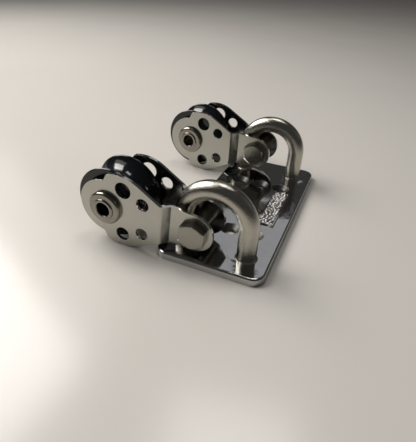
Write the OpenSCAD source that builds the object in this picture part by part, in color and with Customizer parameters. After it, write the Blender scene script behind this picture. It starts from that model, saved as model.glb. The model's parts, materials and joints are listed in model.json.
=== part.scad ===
// Two ball-bearing sheave blocks, each hung on a welded bail, on one base plate.
// +Z is up, the plate lies on z = 0, the bails stand across its long side (Y),
// and both blocks lie over the plate's -X edge with their noses on the ground.

/* [Base plate] */
// Short side of the plate
plate_w = 43.5; // [41:0.5:46]
// Long side of the plate
plate_l = 95.5; // [93:0.5:104]
// Thickness of the plate
plate_t = 3.2; // [3:0.1:4]
// Radius of the plate's corners
plate_corner = 5; // [4:0.5:8]
// Radius of the rounded top edge
plate_edge = 0.9; // [0.6:0.1:1.6]
// Clear radius of a fixing hole
screw_r = 2.2; // [1.6:0.1:2.4]
// Radius of the countersink at the plate's top
sink_r = 4.1; // [3.6:0.1:4.4]
// Distance between neighbouring holes across the plate
screw_dx = 10.3; // [10:0.1:11]
// Distance of a row of holes from the plate's middle
screw_y = 21.5; // [20:0.5:23]

/* [Bails] */
// Radius of the bail's rod
rod_r = 3.75; // [3:0.05:3.9]
// Radius of the bend, to the middle of the rod
bend_r = 12.9; // [12.5:0.1:14]
// Height of the bend's centre
bend_z = 15.9; // [14:0.1:18]
// Place of the bails along the plate
bail_y = 36.9; // [36:0.1:38]
// Sideways place of a bail's middle
bail_x = -0.6; // [-1:0.1:0]
// Size of the weld fillet at a foot
weld_r = 0.7; // [0.5:0.1:1.4]

/* [Label] */
// Short side of the raised label
label_w = 7.5; // [5:0.5:8]
// Long side of the raised label
label_l = 29; // [15:1:29]
// Height of the raised label
label_t = 0.7; // [0.4:0.1:1]

/* [Blocks] */
// Distance from the bolt to the sheave's axle
reach = 35.5; // [35:0.1:38]
// Thickness of a cheek
cheek_t = 1.25; // [1:0.05:1.4]
// Outer width over the two cheeks
cheek_out = 19.9; // [19.5:0.1:21]
// Outer width over the two tangs
tang_out = 13.5; // [13:0.1:14]
// Radius of a cheek round the nose
nose_r = 11.5; // [11:0.1:12]
// Radius of a cheek's wide shoulder
shoulder_r = 15.5; // [15:0.1:16]
// Radius of a tang's round end
tang_r = 7.6; // [7:0.1:7.7]
// Nose-up angle of the front block
front_pitch = 5.5; // [2:0.5:8]
// Nose-up angle of the rear block
rear_pitch = 1; // [0:0.5:4]
// Turn of the rear block about the vertical
rear_yaw = -4; // [-4:0.5:0]

/* [Sheaves] */
// Radius of the sheave's rims
sheave_r = 14.5; // [14:0.1:15]
// Radius at the bottom of the rope groove
groove_bottom = 10.2; // [10:0.1:11]
// Radius of a bearing ball
ball_r = 1.6; // [1.5:0.05:1.6]
// Number of balls in each of the two rows
ball_count = 12; // [8:1:12]

/* [Clevis bolts] */
// Radius of the bolt's plain shank
shank_r = 3; // [2.8:0.05:3]
// Radius of its threaded end
thread_r = 2.5; // [2:0.1:2.6]
// Width of the hexagon head across its flats
head_af = 10; // [9:0.5:10]
// Height of the hexagon head
head_h = 3.1; // [2.8:0.1:4.5]

/* [Hidden] */

$fn = 96;
eps = 0.01;              // overlap of solids that are joined, and overshoot of cuts
fit = 0.05;              // radial clearance of a running or a push fit
face_gap = 0.15;         // clearance of faces that slide past each other

// Bolt: it lies against the inside of the bail's left leg
bolt_x = bail_x - bend_r + rod_r + shank_r + face_gap;

// Cheek outline, with x measured from the axle towards the bolt
shoulder_x = 6;          // centre of the shoulder's arc
step_angle = 95;         // where the nose's arc ends
step_slope = 65;         // slope of the step up to the shoulder
step_x = 1.2;            // centre of the step's rounded corner
step_r = 1;
step_z = sqrt(pow(shoulder_r - step_r, 2) - pow(shoulder_x - step_x, 2));
neck = [22, 8.9];        // where the shoulder meets the bend
far_angle = atan2(neck[1], neck[0] - shoulder_x);
shoulder_end = far_angle + acos(shoulder_r / norm(neck - [shoulder_x, 0]));
tang_root = [23.4, 8.3]; // where the tang leaves the bend
tang_end = 180 - atan2(tang_root[1], reach - tang_root[0])
    - acos(tang_r / norm(tang_root - [reach, 0]));

// Bend of the cheek, seen from above
bend_start = 22.4;
bend_angle = 50;
bend_inner = 0.6;
cheek_y = cheek_out / 2 - cheek_t;
tang_y = tang_out / 2 - cheek_t;
bend_mid = bend_inner + cheek_t / 2;
ramp = (cheek_y - tang_y - 2 * bend_mid * (1 - cos(bend_angle))) / sin(bend_angle);
bend_end = bend_start + 2 * bend_mid * sin(bend_angle) + ramp * cos(bend_angle);

// Lightening holes: [from the axle towards the bolt, height, radius]
cheek_holes = [[7.4, 9.9, 3.3], [7.4, -9.9, 2.9], [15.7, 6.7, 2.6], [15.7, -6.7, 2.6]];

// Axle
rivet_r = 3.5;
rivet_bore = 2.8;
lip_r = 4.3;
lip_h = 0.55;
ring_r = 6.8;
ring_h = 1.9;
ring_round = 1;

// Ball bearing
race_r = 6.9;            // circle of the balls' centres
race_y = 3;              // distance of each row from the middle
hub_r = 5.9;
bore_r = 7.9;

// Sheave
hub_face = 7.8;          // half width of the sheave round its bore
boss_r = 9.6;            // radius of that wide part, and where its slope ends
boss_foot = 10.4;
rim_y = 6.6;             // plane of a rim's largest radius
groove_half = 6;         // half width of the groove's mouth
groove_top = sheave_r - 0.2;   // radius where the groove meets the rim
groove_r = (pow(groove_half, 2) + pow(groove_top - groove_bottom, 2))
    / 2 / (groove_top - groove_bottom);
rim_round = 0.5;

// Side washers
washer_r = 9;
washer_t = 0.5;

// Nut, and the split washer under it
nut_af = 8;
nut_h = 4;
lock_r = 4.4;
lock_t = 1.2;
lock_split = 0.8;
thread_out = 1.6;        // thread that stands out past the nut
tip_chamfer = 0.5;

// A block's lowest point is the foot of its shoulder's arc, which just clears the ground
ground_gap = 0.02;
function bolt_height(pitch) =
    shoulder_r + ground_gap - (reach - shoulder_x) * sin(pitch);

steel = [0.80, 0.78, 0.74];
dull_steel = [0.66, 0.63, 0.58];
mirror_steel = [0.55, 0.56, 0.58];
black_plastic = [0.03, 0.035, 0.05];
white_plastic = [0.90, 0.90, 0.86];

// Points on an arc from angle a0 to a1
function arc(c, r, a0, a1, n = 8) =
    [for (i = [0:n]) c + r * [cos(a0 + (a1 - a0) * i / n), sin(a0 + (a1 - a0) * i / n)]];

// ---- Base plate ----

// Half section of a disc of radius r with a rounded top edge
module edge_section(r) {
    polygon(concat([[0, 0], [r, 0]],
        arc([r - plate_edge, plate_t - plate_edge], plate_edge, 0, 90),
        [[0, plate_t]]));
}

// A bar of that section's full width along Y
module edge_bar(width, length) {
    translate([0, length / 2, 0]) rotate([90, 0, 0]) linear_extrude(length) {
        edge_section(width / 2);
        mirror([1, 0]) edge_section(width / 2);
    }
}

module screw_hole() {
    translate([0, 0, -1]) cylinder(r = screw_r, h = plate_t + 2);
    translate([0, 0, plate_t - (sink_r - screw_r)])
        cylinder(r1 = screw_r, r2 = sink_r + 1, h = sink_r - screw_r + 1);
}

module base_plate() {
    color(mirror_steel) difference() {
        union() {
            edge_bar(plate_w, plate_l - 2 * plate_corner);
            rotate(90) edge_bar(plate_l, plate_w - 2 * plate_corner);
            for (sx = [-1, 1], sy = [-1, 1])
                translate([sx * (plate_w / 2 - plate_corner), sy * (plate_l / 2 - plate_corner), 0])
                    rotate_extrude() edge_section(plate_corner);
        }
        for (ix = [-1:1], sy = [-1, 1])
            translate([ix * screw_dx, sy * screw_y, 0]) screw_hole();
    }
}

module label_plate() {
    label_x = 12.25;
    label_y = 2;
    rim = 0.7;
    floor_t = 0.55 * label_t;
    color(mirror_steel) translate([label_x, label_y, plate_t]) difference() {
        translate([-label_w / 2, -label_l / 2, 0]) cube([label_w, label_l, label_t]);
        translate([-label_w / 2 + rim, -label_l / 2 + rim, floor_t])
            cube([label_w - 2 * rim, label_l - 2 * rim, label_t]);
    }
}

// ---- Bails ----

module bail(y) {
    color(steel) translate([bail_x, y, 0]) {
        translate([0, 0, bend_z]) rotate([90, 0, 0]) rotate_extrude(angle = 180)
            translate([bend_r, 0]) circle(rod_r);
        for (s = [-1, 1]) translate([s * bend_r, 0, plate_t])
            cylinder(r = rod_r, h = bend_z - plate_t);
    }
}

module bail_welds(y) {
    color(dull_steel) for (s = [-1, 1]) translate([bail_x + s * bend_r, y, plate_t])
        rotate_extrude() difference() {
            translate([rod_r, 0]) square(weld_r);
            translate([rod_r + weld_r, weld_r]) circle(weld_r);
        }
}

// ---- Blocks: the bolt is at the origin and the nose points to -X ----

module place_block(y, pitch, yaw) {
    translate([bolt_x, y, bolt_height(pitch)]) rotate([0, pitch, yaw]) children();
}

// Upper half of the outline, from the nose to the end of the tang
cheek_edge = concat(
    arc([0, 0], nose_r, 180, step_angle, 20),
    arc([step_x, step_z], step_r, 90 + step_slope, atan2(step_z, step_x - shoulder_x), 5),
    arc([shoulder_x, 0], shoulder_r, atan2(step_z, step_x - shoulder_x), shoulder_end, 14),
    [neck, tang_root],
    arc([reach, 0], tang_r, tang_end, 0, 18));

module cheek_outline() {
    last = len(cheek_edge) - 1;
    polygon(concat(cheek_edge, [for (i = [last - 1:-1:1]) [cheek_edge[i][0], -cheek_edge[i][1]]]));
}

// Section of the bent strip, seen from above, on the +Y side
module cheek_strip() {
    start = -nose_r - 1;
    end = reach + tang_r + 1;
    bend_outer = bend_inner + cheek_t;
    first = [bend_start, cheek_y - bend_inner];
    last = [bend_end, tang_y + cheek_t + bend_inner];
    polygon(concat(
        [[start, cheek_y + cheek_t]],
        arc(first, bend_outer, 90, 90 - bend_angle, 6),
        arc(last, bend_inner, 270 - bend_angle, 270, 6),
        [[end, tang_y + cheek_t], [end, tang_y]],
        arc(last, bend_outer, 270, 270 - bend_angle, 6),
        arc(first, bend_inner, 90 - bend_angle, 90, 6),
        [[start, cheek_y]]));
}

// Cheek on the +Y side; tang_hole is the radius of its bolt hole
module cheek(tang_hole) {
    color(steel) translate([-reach, 0, 0]) difference() {
        intersection() {
            rotate([90, 0, 0]) translate([0, 0, -cheek_out]) linear_extrude(2 * cheek_out) cheek_outline();
            translate([0, 0, -2 * shoulder_r]) linear_extrude(4 * shoulder_r) cheek_strip();
        }
        rotate([-90, 0, 0]) cylinder(r = rivet_r + fit, h = cheek_out);
        translate([reach, 0, 0]) rotate([-90, 0, 0]) cylinder(r = tang_hole, h = cheek_out);
        for (h = cheek_holes) translate([h[0], 0, h[1]])
            rotate([-90, 0, 0]) cylinder(r = h[2], h = cheek_out);
    }
}

// Ring with a rounded outer edge, standing on the +Y cheek
module hub_ring() {
    color(dull_steel) translate([-reach, cheek_out / 2, 0]) rotate([-90, 0, 0]) rotate_extrude()
        polygon(concat([[rivet_r + fit, 0], [ring_r, 0]],
            arc([ring_r - ring_round, ring_h - ring_round], ring_round, 0, 90),
            [[rivet_r + fit, ring_h]]));
}

// Hollow rivet: a tube whose ends are rolled over the two hub rings
module hub_rivet() {
    half = cheek_out / 2 + ring_h;
    color(dull_steel) translate([-reach, 0, 0]) rotate([-90, 0, 0]) {
        difference() {
            cylinder(r = rivet_r, h = 2 * half, center = true);
            cylinder(r = rivet_bore, h = 2 * half + 2, center = true);
        }
        for (s = [0, 1]) mirror([0, 0, s]) translate([0, 0, half]) rotate_extrude()
            polygon(concat([[rivet_bore, -eps], [rivet_r, -eps], [rivet_r, 0], [lip_r, 0]],
                arc([lip_r - lip_h, 0], lip_h, 0, 90),
                arc([rivet_bore + lip_h, 0], lip_h, 90, 180)));
    }
}

// Fixed inner ring of the bearing, with a groove for each row of balls
module bearing_hub() {
    color(dull_steel) translate([-reach, 0, 0]) rotate([-90, 0, 0]) difference() {
        cylinder(r = hub_r, h = 2 * cheek_y, center = true);
        cylinder(r = rivet_r + fit, h = 2 * cheek_y + 2, center = true);
        ball_grooves();
    }
}

module ball_grooves() {
    for (s = [-1, 1]) translate([0, 0, s * race_y])
        rotate_extrude() translate([race_r, 0]) circle(ball_r + fit);
}

module bearing_balls() {
    color(white_plastic) translate([-reach, 0, 0]) rotate([-90, 0, 0])
        for (s = [-1, 1], i = [0:ball_count - 1])
            rotate((i + s / 4) * 360 / ball_count) translate([race_r, 0, s * race_y]) sphere(ball_r);
}

// Thin plastic washer between the +Y cheek and the sheave
module side_washer() {
    color(white_plastic) translate([-reach, cheek_y - washer_t, 0]) rotate([-90, 0, 0]) difference() {
        cylinder(r = washer_r, h = washer_t);
        translate([0, 0, -1]) cylinder(r = hub_r + fit, h = washer_t + 2);
    }
}

module sheave_half_section() {
    difference() {
        polygon(concat([[bore_r, -eps], [bore_r, hub_face], [boss_r, hub_face],
            [boss_foot, rim_y + rim_round]],
            arc([sheave_r - rim_round, rim_y], rim_round, 90, -60),
            [[groove_top, groove_half], [groove_top, -eps]]));
        translate([groove_bottom + groove_r, 0]) circle(groove_r);
    }
}

module sheave() {
    color(black_plastic) translate([-reach, 0, 0]) rotate([-90, 0, 0]) difference() {
        rotate_extrude($fn = 180) {
            sheave_half_section();
            mirror([0, 1]) sheave_half_section();
        }
        ball_grooves();
    }
}

// ---- Clevis bolt: the head is on the -Y side, the nut on the +Y side ----

// Hexagonal prism with its corners turned down at the free end, standing on z = 0
module hexagon(af, h) {
    corner_r = af / 2 / cos(30);
    turned = 0.6;
    face_r = af / 2 - 0.65;
    intersection() {
        rotate(30) cylinder(r = corner_r, h = h, $fn = 6);
        rotate_extrude() polygon([[0, 0], [corner_r + eps, 0], [corner_r + eps, h - turned],
            [face_r, h], [0, h]]);
    }
}

module bolt() {
    under_head = -tang_out / 2 - face_gap;
    shoulder_y = tang_y - face_gap;
    tip = tang_out / 2 + face_gap + lock_t + nut_h + thread_out;
    color(dull_steel) rotate([-90, 0, 0]) {
        translate([0, 0, under_head]) rotate([180, 0, 0]) hexagon(head_af, head_h);
        translate([0, 0, under_head - eps]) cylinder(r = shank_r, h = shoulder_y - under_head + eps);
        translate([0, 0, shoulder_y - eps]) cylinder(r = thread_r, h = tip - tip_chamfer - shoulder_y + eps);
        translate([0, 0, tip - tip_chamfer - eps])
            cylinder(r1 = thread_r, r2 = thread_r - tip_chamfer, h = tip_chamfer);
    }
}

module lock_washer() {
    color(dull_steel) translate([0, tang_out / 2 + face_gap, 0]) rotate([-90, 0, 0]) difference() {
        cylinder(r = lock_r, h = lock_t);
        translate([0, 0, -1]) cylinder(r = thread_r + fit, h = lock_t + 2);
        rotate(35) translate([0, -lock_split / 2, -1]) cube([lock_r + 1, lock_split, lock_t + 2]);
    }
}

module nut() {
    color(dull_steel) translate([0, tang_out / 2 + face_gap + lock_t, 0]) rotate([-90, 0, 0]) difference() {
        hexagon(nut_af, nut_h);
        translate([0, 0, -1]) cylinder(r = thread_r + fit, h = nut_h + 2);
    }
}

// ---- Nodes ----

module front_block() {
    place_block(-bail_y, front_pitch, 0) children();
}

module rear_block() {
    place_block(bail_y, rear_pitch, rear_yaw) children();
}

base_plate();
label_plate();

bail(-bail_y);  // front_bail
bail_welds(-bail_y);  // front_bail_welds
front_block() mirror([0, 1, 0]) cheek(shank_r + fit);  // front_outer_cheek
front_block() cheek(thread_r + fit);  // front_inner_cheek
front_block() mirror([0, 1, 0]) hub_ring();  // front_outer_hub_ring
front_block() hub_ring();  // front_inner_hub_ring
front_block() hub_rivet();  // front_hub_rivet
front_block() bearing_hub();  // front_bearing_hub
front_block() bearing_balls();  // front_bearing_balls
front_block() mirror([0, 1, 0]) side_washer();  // front_outer_side_washer
front_block() side_washer();  // front_inner_side_washer
front_block() sheave();  // front_sheave
front_block() bolt();  // front_bolt
front_block() lock_washer();  // front_lock_washer
front_block() nut();  // front_nut

bail(bail_y);  // rear_bail
bail_welds(bail_y);  // rear_bail_welds
rear_block() mirror([0, 1, 0]) cheek(shank_r + fit);  // rear_outer_cheek
rear_block() cheek(thread_r + fit);  // rear_inner_cheek
rear_block() mirror([0, 1, 0]) hub_ring();  // rear_outer_hub_ring
rear_block() hub_ring();  // rear_inner_hub_ring
rear_block() hub_rivet();  // rear_hub_rivet
rear_block() bearing_hub();  // rear_bearing_hub
rear_block() bearing_balls();  // rear_bearing_balls
rear_block() mirror([0, 1, 0]) side_washer();  // rear_outer_side_washer
rear_block() side_washer();  // rear_inner_side_washer
rear_block() sheave();  // rear_sheave
rear_block() bolt();  // rear_bolt
rear_block() lock_washer();  // rear_lock_washer
rear_block() nut();  // rear_nut
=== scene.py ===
"""The double sheave block: polished and satin steel, black sheaves, on a pale table."""

import json
import math
import random

import bpy
from mathutils import Matrix, Vector

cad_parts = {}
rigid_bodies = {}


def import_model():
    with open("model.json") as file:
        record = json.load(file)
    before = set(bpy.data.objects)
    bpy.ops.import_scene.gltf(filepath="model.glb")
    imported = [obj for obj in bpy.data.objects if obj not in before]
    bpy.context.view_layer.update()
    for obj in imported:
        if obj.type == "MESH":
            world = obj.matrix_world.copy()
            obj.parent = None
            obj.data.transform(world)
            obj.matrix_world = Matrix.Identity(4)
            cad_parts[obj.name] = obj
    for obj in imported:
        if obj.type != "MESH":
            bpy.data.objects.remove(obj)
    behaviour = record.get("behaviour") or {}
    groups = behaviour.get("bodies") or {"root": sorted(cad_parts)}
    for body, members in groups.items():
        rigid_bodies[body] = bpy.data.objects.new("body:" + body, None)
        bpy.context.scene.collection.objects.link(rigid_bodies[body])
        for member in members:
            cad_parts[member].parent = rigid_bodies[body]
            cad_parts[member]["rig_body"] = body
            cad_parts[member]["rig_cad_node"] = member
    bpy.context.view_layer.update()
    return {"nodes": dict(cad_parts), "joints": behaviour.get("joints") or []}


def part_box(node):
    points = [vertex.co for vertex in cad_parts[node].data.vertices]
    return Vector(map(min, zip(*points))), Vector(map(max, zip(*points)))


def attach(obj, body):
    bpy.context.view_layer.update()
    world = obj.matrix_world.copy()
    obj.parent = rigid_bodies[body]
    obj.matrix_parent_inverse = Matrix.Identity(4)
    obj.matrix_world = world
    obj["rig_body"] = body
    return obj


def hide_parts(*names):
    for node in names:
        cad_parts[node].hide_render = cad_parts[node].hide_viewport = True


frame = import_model()
bpy.ops.object.select_all(action="DESELECT")

MM = 0.001
SIDES = ("front", "rear")
NODES = frame["nodes"]
JOINTS = {j["name"]: j for j in frame["joints"]}


# ---- Finishes ----


class Value:
    """A number that varies over a surface. Python's own signs add the Math nodes."""

    def __init__(self, finish, socket):
        self.finish, self.socket = finish, socket

    def maths(self, operation, *numbers):
        sockets = {i: n for i, n in enumerate(numbers)}
        return self.finish.node("ShaderNodeMath", sockets, operation=operation)

    def __add__(self, other):
        return self.maths("ADD", self, other)

    def __sub__(self, other):
        return self.maths("SUBTRACT", self, other)

    def __rsub__(self, other):
        return self.maths("SUBTRACT", other, self)

    def __mul__(self, other):
        return self.maths("MULTIPLY", self, other)

    __radd__, __rmul__ = __add__, __mul__

    def above(self, edge, blur):
        """0 below edge, 1 above it, over a soft step."""
        return self.finish.node(
            "ShaderNodeMapRange",
            {"Value": self, "From Min": edge - blur, "From Max": edge + blur},
            interpolation_type="SMOOTHSTEP",
        )

    def power(self, exponent):
        return self.maths("POWER", self, exponent)

    def wave(self):
        return self.maths("SINE", self)

    def size(self):
        return self.maths("ABSOLUTE", self)


class Finish:
    """A node material round one Principled shader."""

    def __init__(self, name, **fixed):
        self.material = bpy.data.materials.new(name)
        self.material.use_nodes = True
        self.tree = self.material.node_tree
        self.shader = self.tree.nodes["Principled BSDF"]
        self.set(**fixed)

    def fill(self, socket, value):
        if isinstance(value, Value):
            self.tree.links.new(value.socket, socket)
        elif isinstance(value, tuple) and socket.type == "RGBA":
            socket.default_value = (*value, 1)
        else:
            socket.default_value = value

    def node(self, kind, sockets, output=0, **settings):
        """Adds a node, fills its sockets, and gives back one of its outputs."""
        made = self.tree.nodes.new(kind)
        for key, value in settings.items():
            setattr(made, key, value)
        for key, value in sockets.items():
            self.fill(made.inputs[key], value)
        return Value(self, made.outputs[output])

    def set(self, **sockets):
        for key, value in sockets.items():
            self.fill(self.shader.inputs[key.replace("_", " ")], value)

    def place(self, centre=(0, 0, 0), turn=(0, 0, 0), stretch=(1, 1, 1)):
        """Object coordinates, measured from centre and turned to the piece's own axes."""
        at = self.node("ShaderNodeTexCoord", {}, output="Object")
        if any(centre):
            at = self.node("ShaderNodeVectorMath", {0: at, 1: centre}, operation="SUBTRACT")
        if any(turn):
            at = self.node(
                "ShaderNodeVectorRotate", {"Vector": at, "Rotation": turn},
                rotation_type="EULER_XYZ", invert=True,
            )
        if stretch != (1, 1, 1):
            at = self.node("ShaderNodeVectorMath", {0: at, 1: stretch}, operation="MULTIPLY")
        return at

    def noise(self, at, scale, detail=3.0, roughness=0.5):
        """Cloudy noise between 0 and 1, with its cells 1 / scale metres wide."""
        sockets = {"Vector": at, "Scale": scale, "Detail": detail, "Roughness": roughness}
        return self.node("ShaderNodeTexNoise", sockets, output="Fac")

    def tint(self, mask, low, high):
        """A colour from low to high as mask goes from 0 to 1."""
        mixer = self.tree.nodes.new("ShaderNodeMix")
        mixer.data_type = "RGBA"
        factor, colour_a, colour_b, colour_out = 0, 6, 7, 2
        for index, value in ((factor, mask), (colour_a, low), (colour_b, high)):
            self.fill(mixer.inputs[index], value)
        return Value(self, mixer.outputs[colour_out])

    def relief(self, height, depth, strength=1.0):
        """Bumps of that depth in metres, which feed the shader's Normal."""
        sockets = {"Height": height, "Distance": depth, "Strength": strength}
        self.set(Normal=self.node("ShaderNodeBump", sockets))


def across(finish, at, axis):
    """One coordinate of a place."""
    return finish.node("ShaderNodeSeparateXYZ", {"Vector": at}, output="XYZ".index(axis))


def around(finish, at, one, two):
    """Distance from the axis that is square to the two given ones."""
    a, b = across(finish, at, one), across(finish, at, two)
    return (a * a + b * b).power(0.5)


def mirror_steel():
    """Buffed plate: a wavy mirror, drawn up round the welds, with hairline scratches."""
    f = Finish("mirror_steel", Metallic=1.0)
    at = f.place()
    broad = f.noise(at, 62, 1, 0.4)
    clouds = f.noise(at, 150, 4)
    smears = f.noise(f.place(stretch=(1, 0.3, 1)), 260, 5, 0.65)
    hairs = f.noise(f.place(turn=(0, 0, 0.3), stretch=(1, 0.03, 1)), 2600, 3, 0.6)
    cross_hairs = f.noise(f.place(turn=(0, 0, -1.1), stretch=(1, 0.04, 1)), 2100, 2, 0.6)
    low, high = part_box("front_bail")
    rod = (high.y - low.y) / 2
    sideways = (across(f, at, "X") - (low.x + high.x) / 2).size() - ((high.x - low.x) / 2 - rod)
    lengthways = across(f, at, "Y").size() - abs(low.y + high.y) / 2
    from_foot = (sideways * sideways + lengthways * lengthways).power(0.5)
    drawn = (1.0 - from_foot.above(rod + 2.5 * MM, 4 * MM)) * (0.3 + f.noise(at, 240, 1))
    f.set(
        Base_Color=f.tint(clouds, (0.46, 0.465, 0.46), (0.58, 0.585, 0.58)),
        Roughness=0.045 + 0.08 * smears.above(0.55, 0.2) + 0.05 * hairs.above(0.62, 0.1),
    )
    height = broad * 26 + clouds * 3 + drawn * 16 + hairs * 0.2 + cross_hairs * 0.12
    f.relief(height, 0.02 * MM, 0.8)
    return f.material


def cast_steel():
    """Pebbles of the raised panel: bright, with a slightly uneven skin."""
    f = Finish("cast_steel", Metallic=1.0)
    grain = f.noise(f.place(), 1300, 3, 0.6)
    f.set(
        Base_Color=f.tint(grain, (0.50, 0.50, 0.50), (0.70, 0.70, 0.69)),
        Roughness=0.02 + 0.06 * grain,
    )
    f.relief(grain, 0.02 * MM, 0.4)
    return f.material


def polished_steel():
    """Tumbled and polished rod, with a faint orange-peel surface."""
    f = Finish("polished_steel", Metallic=1.0)
    at = f.place()
    peel = f.noise(at, 2000, 4, 0.65)
    broad = f.noise(at, 110, 2)
    marks = f.noise(f.place(turn=(0.4, 0.2, 0.5), stretch=(1, 0.05, 1)), 1900, 3, 0.65)
    f.set(
        Base_Color=f.tint(broad, (0.46, 0.44, 0.39), (0.54, 0.52, 0.46)),
        Roughness=0.07 + 0.12 * peel + 0.08 * marks.above(0.62, 0.12),
    )
    f.relief(peel * 2.6 + broad * 3 + marks * 0.4, 0.04 * MM)
    return f.material


def cheek_steel():
    """Satin sheet with a fine grain and a few handling marks."""
    f = Finish("cheek_steel", Metallic=1.0)
    at = f.place()
    grain = f.noise(at, 5200, 3, 0.6)
    cloud = f.noise(at, 160, 4, 0.6)
    marks = f.noise(f.place(turn=(0, 0.7, 0), stretch=(1, 1, 0.06)), 1500, 3, 0.65)
    f.set(
        Base_Color=f.tint(cloud, (0.44, 0.435, 0.395), (0.52, 0.515, 0.465)),
        Roughness=0.20 + 0.06 * cloud + 0.04 * marks.above(0.6, 0.15),
    )
    f.relief(grain * 0.5 + marks * 0.15, 0.01 * MM, 0.6)
    return f.material


def buffed_steel(name, low, high, roughness):
    """Edges, insides and holes: buffed or cut, and a little uneven. The lighter edge tone is partly
    painted highlight, and the darker inside and hole tones are painted shade.
    """
    f = Finish(name, Metallic=1.0)
    cloud = f.noise(f.place(), 700, 4, 0.6)
    f.set(Base_Color=f.tint(cloud, low, high), Roughness=roughness + 0.10 * cloud)
    f.relief(cloud, 0.03 * MM, 0.5)
    return f.material


def turned_steel(name, block, low, high, roughness):
    """Steel turned about the block's axle or bolt, with fine lathe rings."""
    f = Finish(name, Metallic=1.0)
    at = f.place(centre=tuple(block.centre), turn=tuple(block.turn.to_euler()))
    rings = (around(f, at, "X", "Z") * (2 * math.pi / (0.16 * MM))).wave()
    cloud = f.noise(f.place(), 450, 4, 0.6)
    f.set(Base_Color=f.tint(cloud, low, high), Roughness=roughness + 0.12 * cloud)
    f.relief(rings * 0.25 + cloud * 2, 0.01 * MM, 0.7)
    return f.material


def sheave_plastic(block):
    """Glossy black moulding, with faint rings from the mould and a little dust."""
    f = Finish("sheave_plastic", Metallic=0.0, IOR=1.52)
    at = f.place(centre=tuple(block.centre), turn=tuple(block.turn.to_euler()))
    rings = (around(f, at, "X", "Z") * (2 * math.pi / (0.5 * MM))).wave()
    cloud = f.noise(f.place(), 260, 4, 0.6)
    dust = f.noise(f.place(), 5200, 2, 0.5).above(0.70, 0.05)
    f.set(
        Base_Color=f.tint(dust * 0.35, (0.006, 0.009, 0.011), (0.20, 0.19, 0.18)),
        Roughness=0.07 + 0.08 * cloud + 0.1 * dust,
    )
    f.relief(rings * 0.12 + cloud * 2, 0.02 * MM, 0.6)
    return f.material


def plain_plastic(name, low, high, roughness):
    """Plain moulding, for the balls and the washers."""
    f = Finish(name, Metallic=0.0)
    cloud = f.noise(f.place(), 900, 4, 0.6)
    f.set(Base_Color=f.tint(cloud, low, high), Roughness=roughness + 0.1 * cloud)
    f.relief(cloud, 0.02 * MM, 0.5)
    return f.material


def table_top():
    """Pale laminate with a soft sheen."""
    f = Finish("table_top", Metallic=0.0)
    cloud = f.noise(f.place(), 9, 4, 0.6)
    fine = f.noise(f.place(), 700, 3, 0.6)
    f.set(
        Base_Color=f.tint(cloud, (0.66, 0.635, 0.595), (0.69, 0.665, 0.625)),
        Roughness=0.18 + 0.05 * cloud,
    )
    f.relief(fine, 0.01 * MM, 0.3)
    return f.material


# ---- Modelling ----


def only(piece):
    bpy.ops.object.select_all(action="DESELECT")
    piece.select_set(True)
    bpy.context.view_layer.objects.active = piece


def keep_place():
    """The active piece's place goes into its mesh."""
    bpy.ops.object.transform_apply(location=True, rotation=True, scale=True)


def seat(piece, place):
    """Moves a piece that was made round the origin to its place in the frame."""
    piece.matrix_world = place
    only(piece)
    keep_place()
    return piece


def modify(piece, kind, **settings):
    only(piece)
    made = piece.modifiers.new(kind.title(), kind)
    for key, value in settings.items():
        setattr(made, key, value)
    bpy.ops.object.modifier_apply(modifier=made.name)


def smooth(piece, angle=32):
    only(piece)
    bpy.ops.object.shade_smooth_by_angle(angle=math.radians(angle))
    modify(piece, "WEIGHTED_NORMAL", keep_sharp=True, weight=60)


def painted(piece, name, material, slot, body, *nodes):
    """Names the piece, gives it its finish, and lets it stand for its nodes."""
    piece.name = piece.data.name = name
    piece.data.materials.clear()
    piece.data.materials.append(material)
    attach(piece, body)
    if nodes:
        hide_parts(*nodes)
    return piece


def traced(node):
    """A merged copy of a node of the frame, with its flat faces made whole."""
    piece = NODES[node].copy()
    piece.data = NODES[node].data.copy()
    bpy.context.scene.collection.objects.link(piece)
    piece.parent = None
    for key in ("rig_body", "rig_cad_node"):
        del piece[key]
    piece.hide_render = piece.hide_viewport = False
    only(piece)
    bpy.ops.mesh.customdata_custom_splitnormals_clear()
    bpy.ops.object.mode_set(mode="EDIT")
    bpy.ops.mesh.select_all(action="SELECT")
    bpy.ops.mesh.remove_doubles(threshold=0.002 * MM)
    bpy.ops.mesh.dissolve_limited(angle_limit=math.radians(0.4))
    bpy.ops.object.mode_set(mode="OBJECT")
    return piece


def eased(piece, radius, segments=3, angle=38):
    """Rounds the piece's sharp edges."""
    modify(
        piece, "BEVEL", width=radius, segments=segments, limit_method="ANGLE",
        angle_limit=math.radians(angle), miter_outer="MITER_ARC", use_clamp_overlap=True,
    )
    smooth(piece)
    return piece


def arc(centre, radius, start, end, steps):
    """Points on an arc, in degrees."""
    turns = [math.radians(start + (end - start) * i / steps) for i in range(steps + 1)]
    return [(centre[0] + radius * math.cos(t), centre[1] + radius * math.sin(t)) for t in turns]


def turned(profile, steps=96):
    """A ring turned round the Z axis from a closed profile of (radius, height), in mm."""
    radius, height = profile[0]
    bpy.ops.mesh.primitive_circle_add(
        vertices=steps, radius=radius * MM, location=(0, 0, height * MM)
    )
    piece = bpy.context.object
    keep_place()
    bpy.ops.object.mode_set(mode="EDIT")
    bpy.ops.mesh.select_all(action="SELECT")
    for (r0, z0), (r1, z1) in zip(profile, profile[1:] + profile[:1]):
        bpy.ops.mesh.extrude_edges_move(
            TRANSFORM_OT_translate={"value": (0, 0, (z1 - z0) * MM)}
        )
        bpy.ops.transform.resize(value=(r1 / r0, r1 / r0, 1), center_override=(0, 0, z1 * MM))
    bpy.ops.mesh.select_all(action="SELECT")
    bpy.ops.mesh.remove_doubles(threshold=0.001 * MM)
    bpy.ops.mesh.normals_make_consistent(inside=False)
    bpy.ops.object.mode_set(mode="OBJECT")
    return piece


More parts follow.
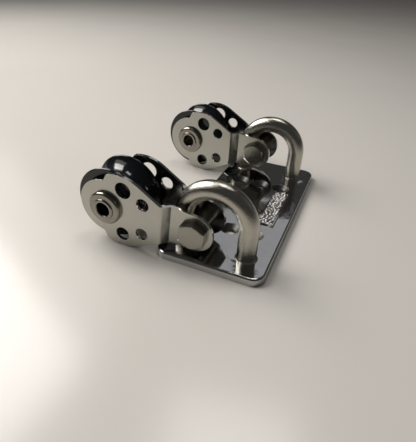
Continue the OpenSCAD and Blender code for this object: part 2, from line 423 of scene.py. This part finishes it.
class Block:
    """A block's own axes: X from the sheave's axle to the bolt, Y along the axle."""

    def __init__(self, side):
        self.side = side
        self.bolt = Vector(JOINTS[side + "_pitch"]["pos_m"])
        self.centre = Vector(JOINTS[side + "_sheave_spin"]["pos_m"])
        y = Vector(JOINTS[side + "_sheave_spin"]["axis"]).normalized()
        x = (self.bolt - self.centre).normalized()
        z = x.cross(y)
        self.turn = Matrix((x, y, z)).transposed()

    def at(self, x, y, z, tip=0):
        """Place of a piece made round the Z axis, x y z mm from the axle."""
        along = self.centre + self.turn @ Vector((x, y, z)) * MM
        return Matrix.Translation(along) @ self.turn.to_4x4() @ Matrix.Rotation(tip, 4, "X")


# ---- The base ----


def base_plate(hole_shade):
    """The plate, with the sides of its screw holes in a rough, near-black steel whose dark colour is
    painted shade.
    """
    piece = eased(traced("base_plate"), 0.14 * MM)
    painted(piece, "deck_plate", mirror_steel(), "mirror_steel", "base", "base_plate")
    piece.data.materials.append(hole_shade)
    low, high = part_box("base_plate")
    inset, underside = 4 * MM, 0.1 * MM
    # The faces inside the holes take the near-black finish: painted shade.
    for face in piece.data.polygons:
        x, y, z = face.center
        within = low.x + inset < x < high.x - inset and low.y + inset < y < high.y - inset
        if within and low.z + underside < z and abs(face.normal.z) < 0.95:
            face.material_index = 1


def label(sunk):
    """The raised rim, and a field of small domes on its sunk floor, whose near-black colour is
    painted shade.
    """
    rim = eased(traced("label_plate"), 0.12 * MM)
    low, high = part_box("label_plate")
    floor, margin = low.z + 0.385 * MM, 1.2 * MM
    dome_radius, spacing, sunk_by, attempts = 0.64 * MM, 1.12 * MM, 0.1 * MM, 6000
    dice = random.Random(4)
    bpy.ops.mesh.primitive_ico_sphere_add(subdivisions=3, radius=dome_radius)
    dome = bpy.context.object
    bpy.ops.object.mode_set(mode="EDIT")
    bpy.ops.mesh.select_all(action="SELECT")
    bpy.ops.mesh.bisect(
        plane_co=(0, 0, 0), plane_no=(0, 0, 1), clear_inner=True, use_fill=True
    )
    bpy.ops.object.mode_set(mode="OBJECT")
    bpy.ops.object.shade_smooth_by_angle(angle=math.radians(60))
    spots = []
    for attempt in range(attempts):
        spot = Vector((
            dice.uniform(low.x + margin, high.x - margin),
            dice.uniform(low.y + margin, high.y - margin),
            floor - sunk_by,
        ))
        if all((spot - other).length > spacing for other in spots):
            spots.append(spot)
    domes = []
    for spot in spots:
        copy = dome.copy()
        copy.data = dome.data.copy()
        bpy.context.scene.collection.objects.link(copy)
        wide = dice.uniform(0.75, 1.1)
        copy.matrix_world = (
            Matrix.Translation(spot)
            @ Matrix.Rotation(dice.uniform(0, 6.28), 4, "Z")
            @ Matrix.Diagonal((wide, wide * dice.uniform(0.75, 1.1), dice.uniform(0.45, 0.65), 1))
        )
        domes.append(copy)
    bpy.data.objects.remove(dome)
    bpy.ops.object.select_all(action="DESELECT")
    for copy in domes:
        copy.select_set(True)
    bpy.context.view_layer.objects.active = domes[0]
    bpy.ops.object.join()
    field = bpy.context.object
    keep_place()
    rim_finish = buffed_steel("label_rim_steel", (0.50, 0.50, 0.50), (0.60, 0.60, 0.60), 0.05)
    painted(rim, "label_rim", rim_finish, "cast_steel", "base", "label_plate")
    rim.data.materials.append(sunk)
    # The sunk floor faces take the near-black finish: painted shade.
    for face in rim.data.polygons:
        face.material_index = int(face.normal.z > 0.9 and face.center.z < floor + 0.05 * MM)
    painted(field, "label_pebbles", cast_steel(), "cast_steel", "base")


def bail(side, finish):
    """A round rod, bent over and standing on the plate by its two legs."""
    low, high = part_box(side + "_bail")
    rod = (high.y - low.y) / 2
    left, right = low.x + rod, high.x - rod
    bend = (right - left) / 2
    y, top = (low.y + high.y) / 2, high.z - rod - bend
    steps_up = 4
    bpy.ops.mesh.primitive_circle_add(vertices=72, radius=rod, location=(left, y, low.z))
    piece = bpy.context.object
    keep_place()
    bpy.ops.object.mode_set(mode="EDIT")
    bpy.ops.mesh.select_all(action="SELECT")
    for step in range(steps_up):
        bpy.ops.mesh.extrude_edges_move(
            TRANSFORM_OT_translate={"value": (0, 0, (top - low.z) / steps_up)}
        )
    bpy.ops.mesh.spin(
        steps=72, angle=-math.pi, center=(left + bend, y, top), axis=(0, 1, 0)
    )
    for step in range(steps_up):
        bpy.ops.mesh.extrude_edges_move(
            TRANSFORM_OT_translate={"value": (0, 0, -(top - low.z) / steps_up)}
        )
    bpy.ops.mesh.select_all(action="SELECT")
    bpy.ops.mesh.remove_doubles(threshold=0.001 * MM)
    bpy.ops.mesh.fill_holes(sides=0)
    bpy.ops.mesh.normals_make_consistent(inside=False)
    bpy.ops.object.mode_set(mode="OBJECT")
    smooth(piece)
    painted(piece, side + "_bail_rod", finish, "polished_steel", "base", side + "_bail")


def welds(side, finish):
    """A hollow fillet round each foot of a bail."""
    low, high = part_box(side + "_bail_welds")
    rod_low, rod_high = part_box(side + "_bail")
    rod = (rod_high.y - rod_low.y) / 2 / MM
    throat, bite = (high.z - low.z) / MM, 0.4
    profile = arc((rod + throat, throat), throat, 180, 270, 10)
    profile += [(rod - bite, 0), (rod - bite, throat)]
    feet = []
    for x in (low.x + (rod + throat) * MM, high.x - (rod + throat) * MM):
        piece = turned([(r, max(z, 0.0)) for r, z in profile], 72)
        feet.append(seat(piece, Matrix.Translation((x, (low.y + high.y) / 2, low.z))))
    for piece in feet:
        piece.select_set(True)
    bpy.ops.object.join()
    piece = bpy.context.object
    smooth(piece)
    painted(piece, side + "_weld_beads", finish, "polished_steel", "base", side + "_bail_welds")


# ---- The blocks ----


def cheek(block, which, sheet, edge, inside):
    """A bent cheek: satin outside, buffed at its edges and on the side of the sheave. The edges'
    lighter colour is painted highlight and the sheave side's darker colour is painted shade.
    """
    node = f"{block.side}_{which}_cheek"
    piece = eased(traced(node), 0.42 * MM, 4)
    painted(piece, node + "_plate", sheet, "cheek_steel", block.side + "_block", node)
    piece.data.materials.append(edge)
    piece.data.materials.append(inside)
    outward = block.turn @ Vector((0, -1 if which == "outer" else 1, 0))
    for face in piece.data.polygons:
        facing = face.normal.dot(outward)
        # Faces turned to the sheave take the darker inside finish, which is painted shade.
        face.material_index = 0 if facing > 0.5 else 1 if facing > -0.5 else 2  # sheet, edge, inside


def hub_rings(block, finish):
    """A ring with a rounded edge on the outside of each cheek."""
    cheek_face, bore, outside, thick = 9.95, 3.55, 6.8, 1.9
    edge, chamfer = 1.0, 0.2
    profile = [(bore, 0), (outside, 0)] + arc((outside - edge, thick - edge), edge, 0, 90, 8)
    profile += [(bore + chamfer, thick), (bore, thick - chamfer)]
    for which, sign in (("outer", -1), ("inner", 1)):
        node = f"{block.side}_{which}_hub_ring"
        piece = turned(profile)
        seat(piece, block.at(0, sign * cheek_face, 0, -sign * math.pi / 2))
        smooth(piece)
        painted(piece, node + "_turned", finish, "hub_steel", block.side + "_block", node)


def rivet(block, finish):
    """The hollow rivet, rolled over both rings."""
    half, lip, play = 11.85, 0.55, 0.02
    bore, shank, flange = 2.8, 3.5, 4.3
    upper = [(shank, half - play), (shank + play, half - play), (flange, half - play)]
    upper += arc((flange - lip, half), lip, 0, 90, 8) + arc((bore + lip, half), lip, 90, 180, 8)
    profile = upper + [(r, -z) for r, z in reversed(upper)]
    piece = turned(profile)
    seat(piece, block.at(0, 0, 0, -math.pi / 2))
    smooth(piece, 40)
    node = block.side + "_hub_rivet"
    painted(piece, node + "_turned", finish, "hub_steel", block.side + "_block", node)


def sheave(block, finish):
    """The wheel: a rope groove outside, two ball grooves in its bore, and stepped sides."""
    groove = arc((16.64, 0), 6.44, 111.3, 180, 22)
    upper = [(7.9, 0)] + arc((6.9, 3), 1.65, -52.7, 52.7, 8)
    upper += [(7.9, 7.65), (8.05, 7.8)] + arc((9.3, 7.5), 0.3, 90, 45, 2) + [(10.4, 7.1)]
    upper += arc((14.0, 6.6), 0.5, 90, -60, 8) + groove
    profile = upper[1:] + [(r, -z) for r, z in reversed(upper[1:-1])]
    piece = turned(profile, 144)
    seat(piece, block.at(0, 0, 0, -math.pi / 2))
    smooth(piece, 30)
    node = block.side + "_sheave"
    painted(piece, node + "_wheel", finish, "sheave_plastic", node, node)


def thread(block, finish):
    """The ridge of the thread where the bolt stands out past its nut."""
    pitch, root, crest, start, turns = 0.8, 2.4, 2.85, 11.95, 2
    bpy.ops.mesh.primitive_circle_add(
        vertices=3, radius=0.3 * MM, fill_type="NGON", rotation=(math.pi / 2, 0, 0)
    )
    piece = bpy.context.object
    keep_place()
    ridge = ((root, 0), (crest, pitch * 0.42), (root, pitch * 0.84))
    for point, (r, z) in zip(piece.data.vertices, ridge):
        point.co = (r * MM, 0, z * MM)
    modify(
        piece, "SCREW", axis="Z", screw_offset=pitch * MM, iterations=turns, steps=40,
        render_steps=40, use_smooth_shade=False, use_merge_vertices=False,
    )
    bpy.ops.object.mode_set(mode="EDIT")
    bpy.ops.mesh.select_all(action="SELECT")
    bpy.ops.mesh.remove_doubles(threshold=0.001 * MM)
    bpy.ops.mesh.fill_holes(sides=0)
    bpy.ops.mesh.normals_make_consistent(inside=False)
    bpy.ops.object.mode_set(mode="OBJECT")
    reach = (block.bolt - block.centre).length / MM
    seat(piece, block.at(reach, start, 0, -math.pi / 2))
    smooth(piece, 30)
    painted(piece, block.side + "_bolt_thread", finish, "bolt_steel", block.side + "_bolt")


def bolt(block, finish):
    """The bolt with its washer and nut, their edges eased, and the thread at its tip."""
    body = block.side + "_bolt"
    for part in ("bolt", "lock_washer", "nut"):
        node = f"{block.side}_{part}"
        piece = eased(traced(node), 0.12 * MM)
        painted(piece, f"{node}_steel", finish, "bolt_steel", body, node)
    thread(block, finish)


def inner_parts(block, steel, ball, washer):
    """The nodes that stay as they are, with their own finishes."""
    for part, finish in (
        ("bearing_hub", steel), ("bearing_balls", ball),
        ("outer_side_washer", washer), ("inner_side_washer", washer),
    ):
        for material_slot in NODES[f"{block.side}_{part}"].material_slots:
            material_slot.material = finish


rod_finish = polished_steel()
sheet_finish = cheek_steel()
# Buffed, smoother steel for the cheek edges; its lighter colour is painted highlight.
edge_highlight_finish = buffed_steel("cheek_edge_painted_highlight", (0.56, 0.55, 0.52), (0.68, 0.67, 0.63), 0.07)
# A darker copy of the cheek steel for the side that faces the sheave: painted shade.
inside_shade_finish = buffed_steel("cheek_inside_painted_shade", (0.30, 0.30, 0.29), (0.38, 0.38, 0.36), 0.10)
# Rough steel with a near-black colour: painted shade inside the plate's holes and on the label's
# sunk floor.
recess_shade_finish = buffed_steel("recess_shade_steel", (0.07, 0.07, 0.065), (0.12, 0.12, 0.11), 0.42)
base_plate(recess_shade_finish)
label(recess_shade_finish)
ball_finish = plain_plastic("ball_plastic", (0.78, 0.78, 0.74), (0.86, 0.86, 0.82), 0.25)
washer_finish = plain_plastic("washer_plastic", (0.05, 0.05, 0.055), (0.07, 0.07, 0.075), 0.4)
for side in SIDES:
    block = Block(side)
    hub_finish = turned_steel(
        side + "_hub_steel", block, (0.25, 0.235, 0.20), (0.34, 0.32, 0.28), 0.12
    )
    bolt_finish = turned_steel(
        side + "_bolt_steel", block, (0.30, 0.295, 0.25), (0.37, 0.36, 0.31), 0.12
    )
    bail(side, rod_finish)
    welds(side, rod_finish)
    for which in ("outer", "inner"):
        cheek(block, which, sheet_finish, edge_highlight_finish, inside_shade_finish)
    hub_rings(block, hub_finish)
    rivet(block, hub_finish)
    sheave(block, sheave_plastic(block))
    bolt(block, bolt_finish)
    inner_parts(block, hub_finish, ball_finish, washer_finish)


# ---- Table, light and camera ----

TABLE_SIZE, TABLE_GAP = 8, 0.01 * MM
bpy.ops.mesh.primitive_grid_add(
    x_subdivisions=8, y_subdivisions=8, size=TABLE_SIZE, location=(0, 0, -TABLE_GAP)
)
table = bpy.context.object
keep_place()
table.name = "table_top"
table.data.materials.append(table_top())


def lamp(name, azimuth, height, distance, wide, tall, glow, colour):
    """A rectangular lamp that faces the object. Azimuth 0 is along +Y and 90 along +X.

    Glow is the lamp's own brightness, whatever its size.
    """
    a, e = math.radians(azimuth), math.radians(height)
    way = Vector((math.sin(a) * math.cos(e), math.cos(a) * math.cos(e), math.sin(e)))
    data = bpy.data.lights.new(name, "AREA")
    data.shape, data.size, data.size_y = "RECTANGLE", wide, tall
    data.energy, data.color = glow * math.pi * wide * tall, colour
    made = bpy.data.objects.new(name, data)
    bpy.context.scene.collection.objects.link(made)
    made.location = way * distance
    made.rotation_euler = way.to_track_quat("Z", "Y").to_euler()


lamp("window_light", -84, 42, 0.80, 0.46, 0.44, 8.5, (1.0, 0.965, 0.93))
lamp("curtain_light", -90, 41, 0.86, 1.05, 0.54, 1.5, (1.0, 0.97, 0.93))
lamp("ceiling_light", -12, 72, 1.0, 0.34, 0.30, 5.5, (1.0, 0.975, 0.94))
lamp("far_wall_light", -13, 38.5, 2.0, 0.62, 0.48, 0.40, (0.96, 0.95, 1.0))
lamp("side_wall_light", 62, 24, 2.0, 0.9, 0.7, 0.10, (0.92, 1.0, 0.95))

world = bpy.data.worlds.new("room")
bpy.context.scene.world = world
world.use_nodes = True
background = world.node_tree.nodes["Background"]
background.inputs["Color"].default_value = (1.0, 0.98, 0.94, 1)
background.inputs["Strength"].default_value = 0.055

data = bpy.data.cameras.new("camera")
data.lens, data.sensor_width = 31.55, 36
camera = bpy.data.objects.new("camera", data)
bpy.context.scene.collection.objects.link(camera)
bpy.context.scene.camera = camera
eye = Vector((0.04074, -0.14744, 0.09608))
aim = Vector((-0.00496, -0.03411, 0.01304))
roll = 2.55
back = (eye - aim).normalized()
side_way = Vector((0, 0, 1)).cross(back).normalized()
upright = Matrix((side_way, back.cross(side_way), back)).transposed()
camera.matrix_world = (
    Matrix.Translation(eye) @ upright.to_4x4() @ Matrix.Rotation(math.radians(roll), 4, "Z")
)
data.clip_start, data.clip_end = 0.005, 50
bpy.context.scene.view_settings.view_transform = "Standard"
